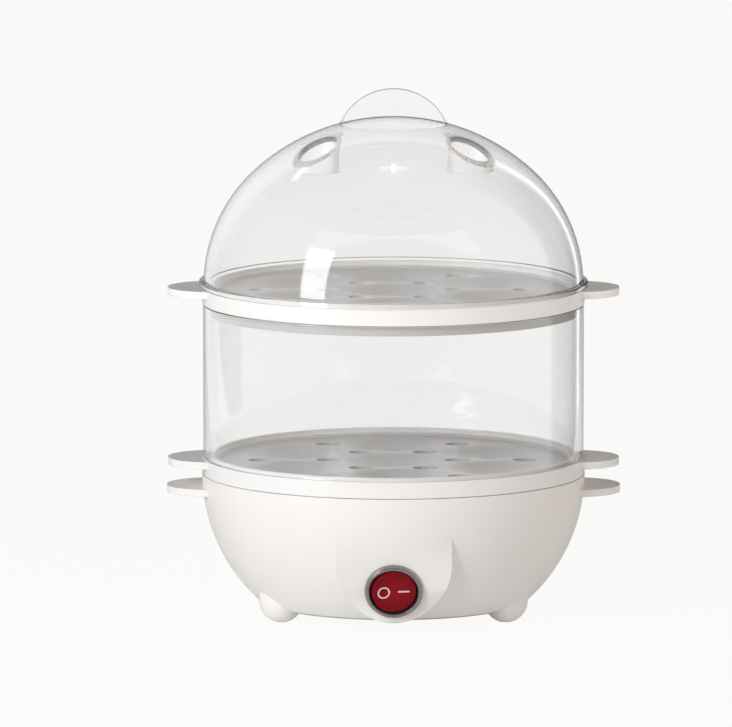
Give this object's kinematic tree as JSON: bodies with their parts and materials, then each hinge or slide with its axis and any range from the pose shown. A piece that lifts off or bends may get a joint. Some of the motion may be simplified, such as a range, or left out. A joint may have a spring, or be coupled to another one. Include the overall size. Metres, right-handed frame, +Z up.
{
  "type": "egg boiler",
  "caption": "Two-tier household egg boiler: white bowl-shaped base with a round red rocker switch, dished egg trays, a clear ring and a clear dome lid that steams eggs.",
  "frame": {"origin": "on the floor, at the boiler's vertical axis", "axes": "+Z up, the switch faces -Y, the side tongues lie along X"},
  "size_m": [0.1802, 0.1544, 0.2094],
  "materials": {
    "white_plastic": "warm white, semi-gloss moulding",
    "tray_plastic": "white, semi-gloss moulding",
    "clear_plastic": "clear, see-through, polished",
    "bezel_chrome": "bright plated",
    "red_plastic": "dark red, glossy, slightly see-through",
    "black_plastic": "matt",
    "grey_plastic": "pale, heat-resistant, matt",
    "rubber_black": "soft, matt",
    "silicone_seal": "soft, translucent grey",
    "dish_steel": "pressed sheet, satin",
    "spreader_aluminium": "plain sheet",
    "element_steel": "heat-dulled sheath",
    "clamp_steel": "zinc-plated sheet",
    "screw_steel": "zinc-plated",
    "thermostat_metal": "drawn can",
    "fuse_metal": "small can",
    "contact_brass": "tin-dulled brass",
    "plunger_plastic": "natural",
    "lamp_glass": "clear bulb",
    "lead_brown": "wire sleeve",
    "lead_blue": "wire sleeve",
    "lead_green": "wire sleeve"
  },
  "bodies": {
    "base": {"base_shell": "white_plastic", "switch_bezel": "bezel_chrome", "switch_housing": "black_plastic", "bottom_cover": "grey_plastic", "deck_ring": "grey_plastic", "terminal_block": "grey_plastic", "cord_gland": "rubber_black", "dish_seal": "silicone_seal", "heating_dish": "dish_steel", "heat_spreader": "spreader_aluminium", "heating_element": "element_steel", "element_clamp": "clamp_steel", "fuse_clip": "clamp_steel", "cover_screws": "screw_steel", "deck_screws": "screw_steel", "clamp_screws": "screw_steel", "thermostat_screws": "screw_steel", "terminal_screws": "screw_steel", "thermostat": "thermostat_metal", "thermal_fuse": "fuse_metal", "switch_terminals": "contact_brass", "earth_lug": "contact_brass", "earth_screw": "contact_brass", "lead_live": "lead_brown", "lead_switched": "lead_brown", "lead_element": "lead_brown", "lead_fuse": "lead_blue", "lead_neutral": "lead_blue", "lead_earth": "lead_green"},
    "lower_tier_tray": {"lower_tray": "tray_plastic"},
    "clear_tier": {"tier_ring": "clear_plastic"},
    "upper_tier_tray": {"upper_tray": "tray_plastic"},
    "clear_dome": {"dome_lid": "clear_plastic"},
    "rocker": {"switch_rocker": "red_plastic", "switch_plunger": "plunger_plastic", "plunger_spring": "screw_steel", "neon_lamp": "lamp_glass"},
    "lever": {"contact_lever": "contact_brass"}
  },
  "joints": [
    {"name": "lower_tray_lift", "type": "slide", "parent": "base", "child": "lower_tier_tray", "axis": [0, 0, 1], "range_m": [0, 0.1]},
    {"name": "tier_ring_lift", "type": "slide", "parent": "lower_tier_tray", "child": "clear_tier", "axis": [0, 0, 1], "range_m": [0, 0.1]},
    {"name": "upper_tray_lift", "type": "slide", "parent": "clear_tier", "child": "upper_tier_tray", "axis": [0, 0, 1], "range_m": [0, 0.1]},
    {"name": "dome_lift", "type": "slide", "parent": "upper_tier_tray", "child": "clear_dome", "axis": [0, 0, 1], "range_m": [0, 0.1]},
    {"name": "rocker_tilt", "type": "hinge", "parent": "base", "child": "rocker", "pos_m": [0, -0.06646, 0.01902], "axis": [0, 0.3173, -0.9483], "range_deg": [0, 16]},
    {"name": "lever_tilt", "type": "hinge", "parent": "base", "child": "lever", "pos_m": [0, -0.05916, 0.02146], "axis": [0, 0.3173, -0.9483], "range_deg": [-24, 0]}
  ],
  "couplings": [
    {"joint": "lever_tilt", "follows": "rocker_tilt", "ratio": -1.5}
  ]
}
